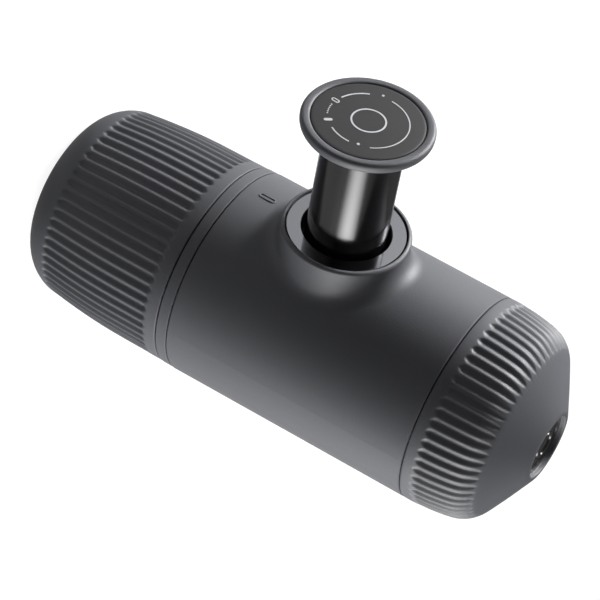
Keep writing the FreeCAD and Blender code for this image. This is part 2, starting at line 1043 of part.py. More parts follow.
def make_collar_wiper(doc, size):
    body = pump_body(doc, "collar_wiper", size)
    top = collar_face(size) - size.collar_gap_depth
    inner = size.sleeve_radius + size.sleeve_play
    outer = size.sleeve_radius + size.collar_gap
    turn(body, "ring", ring(inner, outer, top - size.wiper_height, top))
    return body


def make_piston_sleeve(doc, size):
    body = pump_body(doc, "piston_sleeve", size)
    inner = size.sleeve_radius - size.sleeve_wall
    turn(body, "tube", ring(inner, size.sleeve_radius, sleeve_foot(size),
                            knob_underside(size)))
    return body


def make_knob(doc, size):
    body = pump_body(doc, "knob", size)
    under = knob_underside(size)
    top = knob_top(size)
    hub = size.sleeve_radius - size.sleeve_wall - size.hub_play
    recess = size.boss_radius - size.knob_rim_width
    curve = size.knob_round
    outline = [
        (size.rod_pin_radius + size.hub_play, under - size.knob_hub_depth),
        (hub, under - size.knob_hub_depth),
        (hub, under),
        (size.boss_radius - curve, under),
        Bend(size.boss_radius, under + curve, curve, 1),
        (size.boss_radius, top - curve),
        Bend(size.boss_radius - curve, top, curve, 1),
        (recess, top),
        (recess, knob_recess(size)),
        (size.rod_pin_radius + size.hub_play, knob_recess(size)),
    ]
    turn(body, "disc", outline)
    return body


def make_knob_plate(doc, size):
    body = pump_body(doc, "knob_plate", size)
    turn(body, "disc", disc(knob_plate_radius(size), knob_recess(size), knob_top(size)))
    return body


def make_plunger_rod(doc, size):
    """Rod from the knob's hub down to the piston head."""
    body = pump_body(doc, "plunger_rod", size)
    top = rod_top(size)
    front = piston_front(size)
    head = size.bore_radius - size.piston_head_play
    groove = size.bore_radius - size.seal_groove
    back = front - size.piston_head
    lip = back + size.seal_lip
    pin = size.rod_pin_radius
    turn(body, "rod", [
        (0, back),
        (groove, back),
        (groove, lip),
        (head, lip),
        (head, front),
        (size.rod_radius, front),
        (size.rod_radius, top - size.rod_flange),
        (size.rod_flange_radius, top - size.rod_flange),
        (size.rod_flange_radius, top),
        (pin, top),
        (pin, knob_recess(size)),
        (0, knob_recess(size)),
    ])
    return body


def make_piston_seal(doc, size):
    body = pump_body(doc, "piston_seal", size)
    back = piston_front(size) - size.piston_head
    groove = size.bore_radius - size.seal_groove
    turn(body, "ring", ring(groove, size.bore_radius - size.seal_lip_play,
                            back, back + size.seal_lip))
    return body


def make_pump_cylinder(doc, size):
    body = pump_body(doc, "pump_cylinder", size)
    turn(body, "tube", ring(size.bore_radius, cylinder_outside(size),
                            cylinder_back(size), piston_front(size)))
    return body


def make_cylinder_cap(doc, size):
    body = pump_body(doc, "cylinder_cap", size)
    turn(body, "ring", ring(size.rod_radius + size.rod_play, cylinder_outside(size),
                            piston_front(size), cylinder_front(size)))
    return body


def make_return_spring(doc, size):
    """Space that the coil spring fills between the cylinder's cap and the rod's flange."""
    body = pump_body(doc, "return_spring", size)
    inner = size.spring_radius - size.spring_wire
    turn(body, "coil", ring(inner, size.spring_radius, cylinder_front(size),
                            rod_top(size) - size.rod_flange))
    return body


# Water tank -------------------------------------------------------------------------

def tank_curve(size, inset):
    """The tank's wall, set in from the outside: straight rim, bow, shoulder and cone."""
    bow = size.tank_bow_radius - inset
    shoulder = size.tank_shoulder_radius - inset
    gap = size.tank_bow_radius - size.tank_shoulder_radius
    bow_centre = (tank_outside(size) - size.tank_bow_radius, size.tank_straight)
    shoulder_centre = on_arc(bow_centre, gap, size.tank_bow_turn)
    cone_slope = cosine(size.tank_cone_turn) / sine(size.tank_cone_turn)
    return SimpleNamespace(
        shoulder=shoulder,
        cone_slope=cone_slope,
        rim=on_arc(bow_centre, bow, as_size(0)),
        bow=on_arc(bow_centre, bow, size.tank_bow_turn / 2),
        turn=on_arc(shoulder_centre, shoulder, size.tank_bow_turn),
        middle=on_arc(shoulder_centre, shoulder,
                      (size.tank_bow_turn + size.tank_cone_turn) / 2),
        rib_end=on_arc(shoulder_centre, shoulder, size.tank_rib_turn),
        edge=on_arc(shoulder_centre, shoulder, size.tank_cone_turn),
    )


def make_water_tank(doc, size):
    body = new_body(doc, "water_tank", tank_level(size))
    outside = tank_curve(size, as_size(0))
    inside = tank_curve(size, size.tank_wall)
    edge = size.edge_break
    foot = deck_top(size) + size.tank_seal_height - size.body_height
    recess_floor = size.tank_height - size.recess_depth
    ceiling = recess_floor - size.recess_floor
    ceiling_across = inside.edge[0] - (ceiling - inside.edge[1]) / inside.cone_slope
    tip = outside.edge[0] - (size.tank_height - outside.edge[1]) / outside.cone_slope
    turn(body, "wall", [
        (tank_neck_inside(size), foot),
        (tank_neck_outside(size), foot),
        (tank_neck_outside(size), 0),
        (tank_outside(size) - edge, 0),
        (tank_outside(size), edge),
        outside.rim,
        outside.bow,
        outside.turn,
        Bend(*outside.edge, outside.shoulder, 1),
        (tip, size.tank_height),
        (tip - size.tank_tip_rim, size.tank_height),
        (tip - size.tank_tip_rim, recess_floor),
        (0, recess_floor),
        (0, ceiling),
        (ceiling_across, ceiling),
        inside.edge,
        inside.middle,
        inside.turn,
        inside.bow,
        (inside.rim[0], size.tank_ledge),
        (tank_neck_inside(size), size.tank_ledge),
    ])
    floor = tank_curve(size, size.groove_depth)
    clear = tank_curve(size, -size.groove_clear)
    start = size.tank_rib_start
    cut_ribs(body, size, [
        (clear.rim[0], start),
        clear.bow,
        clear.turn,
        clear.middle,
        clear.rib_end,
        outside.rib_end,
        floor.middle,
        floor.turn,
        (floor.rim[0], start + size.groove_run),
        (tank_outside(size), start),
    ])
    return body


def make_tank_seal(doc, size):
    body = new_body(doc, "tank_seal", body_level(size) + deck_top(size))
    turn(body, "ring", ring(tank_neck_inside(size), tank_neck_outside(size),
                            0, size.tank_seal_height))
    return body


MAKERS = [
    make_cup,
    make_outlet_head,
    make_outlet_seal,
    make_crema_valve,
    make_nozzle,
    make_portafilter,
    make_filter_basket,
    make_group_gasket,
    make_body_shell,
    make_pump_frame,
    make_deck_screws,
    make_shower_screen,
    make_screen_screw,
    make_outlet_valve,
    make_inlet_valve,
    make_inlet_filter,
    make_air_valve,
    make_piston_collar,
    make_collar_wiper,
    make_pump_cylinder,
    make_cylinder_cap,
    make_piston_sleeve,
    make_knob,
    make_knob_plate,
    make_plunger_rod,
    make_piston_seal,
    make_return_spring,
    make_water_tank,
    make_tank_seal,
]


def check_document(doc, pieces):
    """Stops if any feature failed or any piece is not a sound solid."""
    for item in doc.Objects:
        if "Invalid" in item.State or "Error" in item.State:
            raise RuntimeError(f"{item.Name} failed: {item.State}")
    for piece in pieces:
        shape = piece.Shape
        if shape.isNull() or not shape.isValid() or not shape.Solids:
            raise RuntimeError(f"{piece.Label} is not a sound solid")


def main():
    doc = FreeCAD.newDocument("espresso_maker")
    size = make_sheet(doc)
    pieces = [make(doc, size) for make in MAKERS]
    doc.recompute()
    check_document(doc, pieces)
    os.makedirs("parts", exist_ok=True)
    for piece in pieces:
        piece.Shape.exportStep(f"parts/{piece.Label}.step")
        box = piece.Shape.BoundBox
        print(f"{piece.Label:16} solids {len(piece.Shape.Solids)}"
              f" volume {piece.Shape.Volume:9.1f}"
              f" z {box.ZMin:7.2f} to {box.ZMax:7.2f}"
              f" y {box.YMin:7.2f} to {box.YMax:7.2f}")


main()
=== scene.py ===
import math

import bpy
from mathutils import Matrix, Vector


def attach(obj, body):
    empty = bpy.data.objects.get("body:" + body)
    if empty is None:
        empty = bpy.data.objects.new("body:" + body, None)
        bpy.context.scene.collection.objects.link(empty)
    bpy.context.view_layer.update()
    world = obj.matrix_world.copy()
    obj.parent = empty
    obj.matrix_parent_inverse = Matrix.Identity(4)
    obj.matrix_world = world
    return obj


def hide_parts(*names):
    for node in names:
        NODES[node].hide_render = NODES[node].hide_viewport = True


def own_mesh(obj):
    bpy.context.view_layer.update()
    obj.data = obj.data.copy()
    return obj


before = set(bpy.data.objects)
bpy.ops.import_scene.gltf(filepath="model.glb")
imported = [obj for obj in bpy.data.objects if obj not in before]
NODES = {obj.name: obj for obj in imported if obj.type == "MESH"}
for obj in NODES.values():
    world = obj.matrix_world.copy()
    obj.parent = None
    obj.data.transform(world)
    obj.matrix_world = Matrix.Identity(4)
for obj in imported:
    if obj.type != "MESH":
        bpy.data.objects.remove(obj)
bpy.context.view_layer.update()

# Handheld manual espresso maker, standing on its drinking cup with the water tank on top
# and the pump's knob pulled out to the side.
#
# Lengths are in millimetres up to the studio, and become metres where an operator takes
# them. An outline is a list of (radius, height) pairs.

# Heights of the pump's axis and of the tank's foot
PUMP_LEVEL = 85.7
TANK_LEVEL = 128.1
# Radii of the screwed pairs: the cup on the portafilter's neck, the outlet head in that
# neck, and the tank's neck in the barrel
CUP_BORE = 28.6
NECK_RADIUS = 27.9
HEAD_NECK = 25.95
BARREL_BORE = 28.1
TANK_NECK = 27.5
# The front of the knob's plate, measured along the pump's axis
FACE_LEVEL = 74.28


# Modelling helpers ------------------------------------------------------------------

def deselect():
    if bpy.context.object and bpy.context.object.mode != "OBJECT":
        bpy.ops.object.mode_set(mode="OBJECT")
    bpy.ops.object.select_all(action="DESELECT")


def pick(piece):
    deselect()
    piece.select_set(True)
    bpy.context.view_layer.objects.active = piece


def edit(piece):
    pick(piece)
    bpy.context.tool_settings.mesh_select_mode = (True, False, False)
    bpy.ops.object.mode_set(mode="EDIT")
    bpy.ops.mesh.select_all(action="SELECT")


def leave_edit():
    bpy.ops.object.mode_set(mode="OBJECT")


def fix_place(piece):
    """Puts the object at the origin, with its place and turn in its mesh."""
    pick(piece)
    bpy.ops.object.transform_apply(location=True, rotation=True, scale=True)


def choose_points(piece, wanted):
    """Selects the vertices for which wanted(place in mm) holds, and enters edit mode."""
    edit(piece)
    bpy.ops.mesh.select_all(action="DESELECT")
    leave_edit()
    for vertex in piece.data.vertices:
        vertex.select = wanted(vertex.co * 1000)
    bpy.ops.object.mode_set(mode="EDIT")


def choose_faces(piece, wanted):
    """Selects the faces for which wanted(centre in mm) holds, and enters edit mode."""
    edit(piece)
    bpy.ops.mesh.select_all(action="DESELECT")
    bpy.ops.mesh.select_mode(type="FACE")
    leave_edit()
    for face in piece.data.polygons:
        face.select = wanted(face.center * 1000)
    bpy.ops.object.mode_set(mode="EDIT")


def choose_rims(piece, wanted):
    """Selects the open edges whose points all pass wanted(place in mm), in edit mode.

    The points are chosen first. Going to edge mode then keeps the edges between them.
    """
    edit(piece)
    bpy.ops.mesh.select_all(action="DESELECT")
    bpy.ops.mesh.select_non_manifold()
    leave_edit()
    kept = [vertex.select and wanted(vertex.co * 1000) for vertex in piece.data.vertices]
    choose_points(piece, lambda place: False)
    leave_edit()
    for vertex, keep in zip(piece.data.vertices, kept):
        vertex.select = keep
    bpy.ops.object.mode_set(mode="EDIT")
    bpy.ops.mesh.select_mode(type="EDGE")


def use_modifier(piece, kind, **settings):
    pick(piece)
    modifier = piece.modifiers.new(kind.title(), kind)
    for name, value in settings.items():
        setattr(modifier, name, value)
    bpy.ops.object.modifier_apply(modifier=modifier.name)


def smooth(piece, degrees=35):
    pick(piece)
    bpy.ops.object.shade_smooth_by_angle(angle=math.radians(degrees))


def arc(across, up, radius, first, last, steps):
    """Outline points on an arc round (across, up); angles in degrees from the horizontal."""
    points = []
    for step in range(steps + 1):
        angle = math.radians(first + (last - first) * step / steps)
        points.append((across + radius * math.cos(angle), up + radius * math.sin(angle)))
    return points


def chain(name, points, turn=0):
    """An outline drawn point by point as a chain of edges, turned about the upright axis."""
    deselect()
    bpy.ops.mesh.primitive_plane_add(size=0.001)
    piece = bpy.context.object
    piece.name = piece.data.name = name
    edit(piece)
    bpy.ops.mesh.merge(type="CENTER")
    start = (points[0][0] / 1000, 0, points[0][1] / 1000)
    bpy.ops.transform.translate(value=start)
    for before, after in zip(points, points[1:]):
        step = ((after[0] - before[0]) / 1000, 0, (after[1] - before[1]) / 1000)
        bpy.ops.mesh.extrude_region_move(TRANSFORM_OT_translate={"value": step})
    leave_edit()
    piece.rotation_euler.z = math.radians(turn)
    fix_place(piece)
    return piece


def merge_seams(piece):
    edit(piece)
    bpy.ops.mesh.remove_doubles(threshold=0.00001)
    bpy.ops.mesh.normals_make_consistent(inside=False)
    leave_edit()


# Open rims nearer the axis than this are poles. Those further out are mouths.
POLE_REACH = 21


def close_poles(piece):
    """Closes the holes left round the axis and points every face outwards."""
    choose_rims(piece, lambda place: place.xy.length < POLE_REACH)
    bpy.ops.mesh.fill_holes(sides=0)
    leave_edit()
    edit(piece)
    bpy.ops.mesh.normals_make_consistent(inside=False)
    leave_edit()


def turned(name, outline, steps=96, loop=False, bevel=0.0):
    """A turned piece: the outline spun once round the upright axis."""
    points = outline + [outline[0]] if loop else outline
    piece = chain(name, points)
    edit(piece)
    bpy.ops.mesh.spin(steps=steps, angle=2 * math.pi, center=(0, 0, 0), axis=(0, 0, 1))
    leave_edit()
    merge_seams(piece)
    if not loop:
        close_poles(piece)
    if bevel:
        use_modifier(piece, "BEVEL", width=bevel / 1000, segments=3,
                     limit_method="ANGLE", angle_limit=math.radians(30))
    smooth(piece)
    return piece


def join(piece, others):
    """Makes one mesh of a piece and others."""
    pick(piece)
    for other in others:
        other.select_set(True)
    bpy.ops.object.join()


def onto_pump(piece):
    """Lays an upright piece along the pump's axis, its top towards the knob."""
    piece.rotation_euler.x = math.pi / 2
    piece.location.z = PUMP_LEVEL / 1000
    fix_place(piece)


def lift(piece, height):
    piece.location.z = height / 1000
    fix_place(piece)


# Materials --------------------------------------------------------------------------

def linear(code):
    """A linear colour from an sRGB hex code such as "6E6E72"."""
    parts = [int(code[place:place + 2], 16) / 255 for place in (0, 2, 4)]
    return [part / 12.92 if part <= 0.04045 else ((part + 0.055) / 1.055) ** 2.4
            for part in parts] + [1]


def add(tree, kind, links=(), **settings):
    """Adds a node, sets its sockets and settings, and links sockets into it."""
    node = tree.nodes.new(kind)
    for name, value in settings.items():
        label = name.replace("_", " ").title()
        if hasattr(node, name):
            setattr(node, name, value)
        else:
            node.inputs[label].default_value = value
    for source, place in links:
        tree.links.new(source, node.inputs[place])
    return node


def new_material(name, colour, roughness, metallic=0.0):
    """A material with its node tree, its Principled shader and its coordinates."""
    material = bpy.data.materials.new(name)
    material.use_nodes = True
    material.diffuse_color = linear(colour)
    tree = material.node_tree
    shader = tree.nodes["Principled BSDF"]
    shader.inputs["Base Color"].default_value = linear(colour)
    shader.inputs["Roughness"].default_value = roughness
    shader.inputs["Metallic"].default_value = metallic
    place = add(tree, "ShaderNodeTexCoord").outputs["Object"]
    return material, tree, shader, place


def ramp(tree, source, low, high, first=0.0, last=1.0, kind="LINEAR"):
    """Goes from low to high while the source goes from first to last."""
    node = add(tree, "ShaderNodeMapRange", [(source, 0)], interpolation_type=kind)
    for socket, value in (("From Min", first), ("From Max", last), ("To Min", low),
                          ("To Max", high)):
        node.inputs[socket].default_value = value
    return node.outputs[0]


def surface(name, colour, tint, roughness, spread, grain, pits, metallic=0.0, stretch=1.0):
    """A moulded, brushed or printed skin.

    Its grain is so many mm wide, with pits so many mm deep, and its roughness varies by
    spread. The colour drifts slowly to the tint, over about 20 mm. With stretch, the
    grain is drawn out along the maker's long axis, as brush lines are.
    """
    material, tree, shader, place = new_material(name, colour, roughness, metallic)
    drift = add(tree, "ShaderNodeTexNoise", [(place, "Vector")], scale=45.0, detail=1.0)
    shade = add(tree, "ShaderNodeMix", [(drift.outputs["Fac"], 0)], data_type="RGBA")
    shade.inputs[6].default_value = linear(colour)
    shade.inputs[7].default_value = linear(tint)
    tree.links.new(shade.outputs[2], shader.inputs["Base Color"])
    drawn = add(tree, "ShaderNodeMapping", [(place, "Vector")])
    drawn.inputs["Scale"].default_value = (1, 1, 1 / stretch)
    skin = add(tree, "ShaderNodeTexNoise", [(drawn.outputs[0], "Vector")],
               scale=1000 / grain, detail=2.0, roughness=0.6)
    gloss = ramp(tree, skin.outputs["Fac"], roughness - spread, roughness + spread)
    tree.links.new(gloss, shader.inputs["Roughness"])
    bump = add(tree, "ShaderNodeBump", [(skin.outputs["Fac"], "Height")])
    bump.inputs["Distance"].default_value = pits / 1000
    tree.links.new(bump.outputs[0], shader.inputs["Normal"])
    return material


# Injection-moulded ABS from a spark-eroded tool: an even satin skin of tiny pits. Real
# ones are under 0.2 mm wide, so they are drawn about three times too coarse to show.
SATIN = surface("Spark-textured dark grey ABS", "45464A", "494A4F", 0.58, 0.08, 0.5, 0.032)
# ABS from a polished tool: a deep black with sharp, faintly rippled reflections.
GLOSS_BLACK = surface("Polished black ABS", "0B0B0C", "0E0E0F", 0.17, 0.02, 9.0, 0.004)
# Tinted chrome plate over plastic: a grey mirror, blurred a little by fine wipe marks.
SMOKED_CHROME = surface("Smoked chrome plate", "84858A", "88898D", 0.1, 0.03, 3.0, 0.001,
                        metallic=1.0)
# Painted disc with a silky coat, smoother than the moulded skin round it.
PLATE_FACE = surface("Satin black lacquer", "131316", "161619", 0.46, 0.06, 0.4, 0.015)
# Food-grade polypropylene, straight from a plain tool: a duller and softer black.
INNER = surface("Black moulded PP", "1C1C1E", "202022", 0.5, 0.06, 0.6, 0.03)
# Moulded silicone: matt, with a skin that scatters light evenly.
RUBBER = surface("Black silicone rubber", "19191A", "1D1D1E", 0.7, 0.08, 0.5, 0.04)
# Rolled stainless sheet and wire, with brush lines about 0.3 mm apart.
STEEL = surface("Brushed stainless steel", "B9B7B2", "C2C0BB", 0.3, 0.08, 0.3, 0.006,
                metallic=1.0, stretch=12.0)
# Thin ink stamped on with a soft pad: flat, with slightly uneven cover.
PRINT = surface("Pale grey pad print", "B9BABC", "AFB0B2", 0.5, 0.1, 0.25, 0.01)


def finish_with(piece, material):
    piece.data.materials.clear()
    piece.data.materials.append(material)


# Cup and tank: ribbed walls ---------------------------------------------------------

RIBS = 60
RIB_TURN = 360 / RIBS
# Faces across one rib and its flute, before they are smoothed
RIB_STEPS = 8
# The wall's mean radius at the flutes, which turns a stroke's depth into a scale
FLUTED_RADIUS = 30


def press_flute(piece, strokes):
    """Presses a rounded flute into the middle of a sector, each stroke inside the last.

    A stroke holds half its width in degrees, its lowest and highest place, and its depth.
    """
    for half_turn, low, high, depth in strokes:

        def in_stroke(place):
            turn = abs(math.degrees(math.atan2(place.y, place.x)))
            return turn < half_turn and low < place.z < high

        choose_points(piece, in_stroke)
        shrink = 1 - depth / FLUTED_RADIUS
        bpy.ops.transform.resize(value=(shrink, shrink, 1), center_override=(0, 0, 0))
        leave_edit()


def ribbed(name, outside, inside, strokes):
    """A turned wall whose outside carries a flute repeated all the way round.

    One rib is spun, fluted and repeated. Its outside is then bridged to a plain lining.
    """
    piece = chain(name, outside, RIB_TURN / 2)
    edit(piece)
    bpy.ops.mesh.spin(steps=RIB_STEPS, angle=math.radians(RIB_TURN), center=(0, 0, 0),
                      axis=(0, 0, 1))
    bpy.ops.mesh.remove_doubles(threshold=0.000005)
    leave_edit()
    press_flute(piece, strokes)
    edit(piece)
    bpy.ops.mesh.spin(steps=RIBS - 1, dupli=True, center=(0, 0, 0), axis=(0, 0, 1),
                      angle=math.radians(360 - RIB_TURN))
    leave_edit()
    merge_seams(piece)
    use_modifier(piece, "SUBSURF", levels=1, render_levels=1)
    lining = chain(name + "_lining", inside)
    edit(lining)
    bpy.ops.mesh.spin(steps=120, angle=2 * math.pi, center=(0, 0, 0), axis=(0, 0, 1))
    leave_edit()
    merge_seams(lining)
    join(piece, [lining])
    choose_rims(piece, lambda place: place.xy.length > POLE_REACH)
    bpy.ops.mesh.bridge_edge_loops()
    leave_edit()
    close_poles(piece)
    smooth(piece, 50)
    return piece


def make_cup():
    """The drinking cup: flat base, rounded corner, fluted wall and plain rim."""
    corner = arc(16.84, 11.413, 12, -72, -20, 5)
    bow = arc(-149.4, 35.665, 180, -8.1, -6.6, 3) + arc(-149.4, 35.665, 180, -5, 0, 4)
    outside = (
        [(18, 0), (20, 0)] + corner + [(28.55, 8.7), (28.67, 9.3), (28.76, 9.8)] + bow
        + [(30.6, 40), (30.6, 42.6), (30.6, 43.4), (30.6, 43.9), (30.6, 44.4),
           (30.6, 44.9), (30.6, 45.4), (30.6, 46.2), (30.6, 48.6), (30.58, 49.02),
           (30.5, 49.1), (29.5, 49.12), (29.3, 49.14)])
    inside = [
        (29.2, 49.14), (29.2, 49.4), (28.85, 49.4), (CUP_BORE, 49.15), (CUP_BORE, 36),
        (28.3, 25),
        (27.2, 13), (25.6, 8), (23, 4.4), (20, 2.75), (18, 2.6), (2, 2.6)]
    piece = ribbed("cup_wall", outside, inside, [
        (2.6, 10.6, 44.6, 0.12), (1.9, 10.1, 44.6, 0.29), (1.2, 9.5, 45.1, 0.32),
        (0.5, 9.0, 45.1, 0.12)])
    finish_with(piece, SATIN)
    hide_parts("cup")
    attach(piece, "cup")


def make_tank():
    """The water tank, with its heights from its foot: fluted shoulder, cone and recess."""
    bow = arc(-31.5, 1.15, 62, 4.2, 12, 4)
    shoulder = arc(19.364, 11.961, 10, 20, 61.5, 11)
    outside = (
        [(29.3, 0.32), (29.5, 0.32), (30.38, 0.34), (30.47, 0.44), (30.5, 0.9), (30.5, 2.4),
         (30.48, 3.2), (30.46, 3.6), (30.43, 4.0), (30.41, 4.4), (30.36, 4.9), (30.3, 5.5)]
        + bow + shoulder
        + [(22.6, 21.62), (20, 23.08), (17.5, 24.45), (15, 25.75), (11.4, 27.66),
           (10.7, 28.0), (10.2, 28.16), (9.6, 28.2), (9.3, 28.12), (9.2, 27.9),
           (9.2, 27.0), (9.15, 26.72), (8.8, 26.7), (7.6, 26.7)])
    inside = [
        (2, 25.3), (11.5, 25.2), (16.5, 22.6), (20.2, 20.2), (23.5, 18.2), (26.6, 12.5),
        (27.6, 8), (28.3, 2.4), (25.55, 2.4), (25.55, -16.3), (25.75, -16.5),
        (27.2, -16.5), (TANK_NECK, -16.2), (TANK_NECK, 0), (29.2, 0), (29.2, 0.32)]
    piece = ribbed("tank_wall", outside, inside, [
        (2.6, 4.6, 18.7, 0.10), (1.9, 4.2, 19.4, 0.24), (1.2, 3.8, 20.0, 0.28),
        (0.5, 3.5, 20.5, 0.12)])
    tip = turned("tank_tip", [
        (2, 26.5), (9.25, 26.5), (9.25, 26.74), (7.5, 26.74), (7.3, 27.15), (6.5, 27.15),
        (6.2, 26.74), (4.2, 26.74), (4.0, 27.1), (3.2, 27.1), (3.0, 26.74), (2, 26.74)])
    for part in (piece, tip):
        lift(part, TANK_LEVEL)
        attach(part, "water_tank")
    finish_with(piece, SATIN)
    finish_with(tip, GLOSS_BLACK)
    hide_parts("water_tank")


# Portafilter ------------------------------------------------------------------------

def make_portafilter():
    """The thin band between cup and barrel, with a shadow gap on each side of it."""
    piece = turned("portafilter_ring", [
        (26.3, 41.9), (27.6, 41.9), (NECK_RADIUS, 42.2), (NECK_RADIUS, 49.4), (29.2, 49.4),
        (29.2, 49.54), (30.58, 49.56), (30.7, 49.68), (30.7, 52.62), (30.58, 52.74),
        (29.2, 52.76), (29.2, 53.1), (28.05, 53.1), (28.05, 58.4), (27.85, 58.6),
        (26.15, 58.6), (25.95, 58.4), (25.95, 56.4), (23.85, 56.4), (23.85, 50.4),
        (26.3, 50.4)], steps=120, loop=True)
    finish_with(piece, SATIN)
    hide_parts("portafilter")
    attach(piece, "portafilter")


# Knob, sleeve and ring --------------------------------------------------------------

def make_knob():
    """The knob's disc with its rolled rim, and the plate set into it."""
    outline = (
        [(1.8, 65.95), (9.05, 65.95), (9.05, 70.95), (15.2, 70.95)]
        + arc(15.7, 73.0, 2.1, -90, 0, 8) + arc(16.7, 73.4, 1.1, 0, 90, 6)
        + [(16.1, 74.46), (15.7, 74.42), (15.45, 74.3), (15.3, 74.1), (15.3, 73.4),
           (1.8, 73.4)])
    knob = turned("knob_disc", outline, steps=128, loop=True)
    plate = turned("knob_face", [
        (2, 73.35), (15.05, 73.35), (15.05, 74.05), (14.95, 74.18), (14.7, 74.25),
        (14.2, FACE_LEVEL), (2, FACE_LEVEL)], steps=128)
    for part in (knob, plate):
        onto_pump(part)
        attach(part, "knob")
    finish_with(knob, SATIN)
    finish_with(plate, PLATE_FACE)
    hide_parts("knob")
    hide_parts("knob_plate")


PRINT_HEIGHT = 0.05


def pad(name, width, length, radius, turn):
    """A round-ended pad print, its long side along the radius it stands on."""
    deselect()
    bpy.ops.mesh.primitive_circle_add(vertices=24, radius=width / 2000, fill_type="NGON")
    piece = bpy.context.object
    piece.name = piece.data.name = name
    stretch = (length - width) / 2000
    for side in (1, -1):
        choose_points(piece, lambda place: place.x * side > 0.0001)
        bpy.ops.transform.translate(value=(stretch * side, 0, 0))
        leave_edit()
    edit(piece)
    bpy.ops.mesh.extrude_region_move(
        TRANSFORM_OT_translate={"value": (0, 0, PRINT_HEIGHT / 1000)})
    leave_edit()
    merge_seams(piece)
    angle = math.radians(turn)
    piece.location = (radius * math.cos(angle) / 1000, radius * math.sin(angle) / 1000,
                      FACE_LEVEL / 1000)
    piece.rotation_euler.z = angle
    fix_place(piece)
    return piece


def band(name, inner, outer, first, last):
    """A printed arc: a short radial line spun along it."""
    piece = chain(name, [(inner, FACE_LEVEL), (outer, FACE_LEVEL)], last)
    edit(piece)
    steps = max(3, int((last - first) / 4))
    bpy.ops.mesh.spin(steps=steps, angle=math.radians(last - first), center=(0, 0, 0),
                      axis=(0, 0, 1))
    bpy.ops.mesh.select_all(action="SELECT")
    bpy.ops.mesh.extrude_region_move(
        TRANSFORM_OT_translate={"value": (0, 0, PRINT_HEIGHT / 1000)})
    leave_edit()
    merge_seams(piece)
    return piece


def make_knob_marks():
    """Open and filled ovals for the two lock positions, dots between them, plain arcs."""
    marks = [pad("locked_mark", 1.0, 2.3, 10.6, -51)]
    marks += [pad(f"dot_{turn}", 0.42, 0.42, 10.8, -turn) for turn in range(65, 88, 4)]
    marks += [pad("small_dot", 0.7, 0.7, 11.4, -168), pad("other_dot", 0.8, 0.8, 10.1, 16)]
    marks += [band("open_arc", 10.55, 10.95, -150, -107),
              band("shut_arc", 10.25, 10.6, -34, 2),
              band("long_arc", 10.55, 10.85, 33, 177),
              band("centre_ring", 4.3, 4.75, 0, 360)]
    whole = marks[0]
    join(whole, marks[1:])
    whole.name = whole.data.name = "knob_marks"
    outline = pad("open_mark", 1.3, 2.4, 10.9, -96)
    opening = pad("opening", 0.6, 1.7, 10.9, -96)
    opening.name = opening.data.name = "open_mark_inside"
    onto_pump(whole)
    onto_pump(outline)
    onto_pump(opening)
    # The oval's dark inside stands a hair in front of the oval.
    pick(opening)
    bpy.ops.transform.translate(value=(0, -0.00002, 0))
    fix_place(opening)
    for part, material, slot in ((whole, PRINT, "knob_face"), (outline, PRINT, "knob_face"),
                                 (opening, PLATE_FACE, "knob_face")):
        finish_with(part, material)
        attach(part, "knob")


# Alignment mark ---------------------------------------------------------------------

MARK_TURN = math.radians(-93.5)
MARK_RADIUS = 30.78
MARK_LEVEL = 58.3
MARK_LENGTH = 3.4


def make_lock_mark():
    """A raised oblong bead on the barrel, beside the band, that shows the lock's place."""
    deselect()
    bpy.ops.mesh.primitive_torus_add(major_radius=0.00072, minor_radius=0.00024,
                                     major_segments=32, minor_segments=10)
    piece = bpy.context.object
    piece.name = piece.data.name = "lock_mark"
    choose_points(piece, lambda place: place.y > 0.0001)
    bpy.ops.transform.translate(value=(0, MARK_LENGTH / 1000, 0))
    leave_edit()
    merge_seams(piece)
    piece.rotation_euler = (math.pi / 2, 0, MARK_TURN + math.pi / 2)
    piece.location = (MARK_RADIUS * math.cos(MARK_TURN) / 1000,
                      MARK_RADIUS * math.sin(MARK_TURN) / 1000, MARK_LEVEL / 1000)
    fix_place(piece)
    smooth(piece, 60)
    finish_with(piece, SATIN)
    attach(piece, "main_body")


# Threads, lugs, spring and strainers ------------------------------------------------

def thread(name, radius, height, low, pitch, turns, body, material):
    """A screw thread: a blunt tooth drawn up a helix. A negative height points inwards.

    The tooth starts 0.1 mm inside its wall, so that no gap shows under it.
    """
    foot = radius - math.copysign(0.1, height)
    piece = chain(name, [(foot, low), (radius + height, low + 0.25 * pitch),
                         (radius + height, low + 0.35 * pitch), (foot, low + 0.6 * pitch),
                         (foot, low)])
    merge_seams(piece)
    use_modifier(piece, "SCREW", angle=2 * math.pi, screw_offset=pitch / 1000,
                 iterations=turns, steps=72, render_steps=72)
    choose_rims(piece, lambda place: True)
    bpy.ops.mesh.fill_holes(sides=0)
    leave_edit()
    merge_seams(piece)
    smooth(piece)
    finish_with(piece, material)
    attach(piece, body)


def make_threads():
    """Each pair's crests pass each other with 0.04 mm or more to spare."""
    thread("cup_thread", CUP_BORE, -0.3, 43.0, 2.4, 2, "cup", SATIN)
    thread("neck_thread", NECK_RADIUS, 0.36, 41.8, 2.4, 2, "portafilter", SATIN)
    thread("head_thread", HEAD_NECK, 0.25, 43.4, 2.0, 2, "outlet_head", INNER)
    thread("barrel_thread", BARREL_BORE, -0.22, 114.4, 3.0, 4, "main_body", INNER)
    thread("tank_thread", TANK_NECK, 0.34, 112.9, 3.0, 4, "water_tank", SATIN)


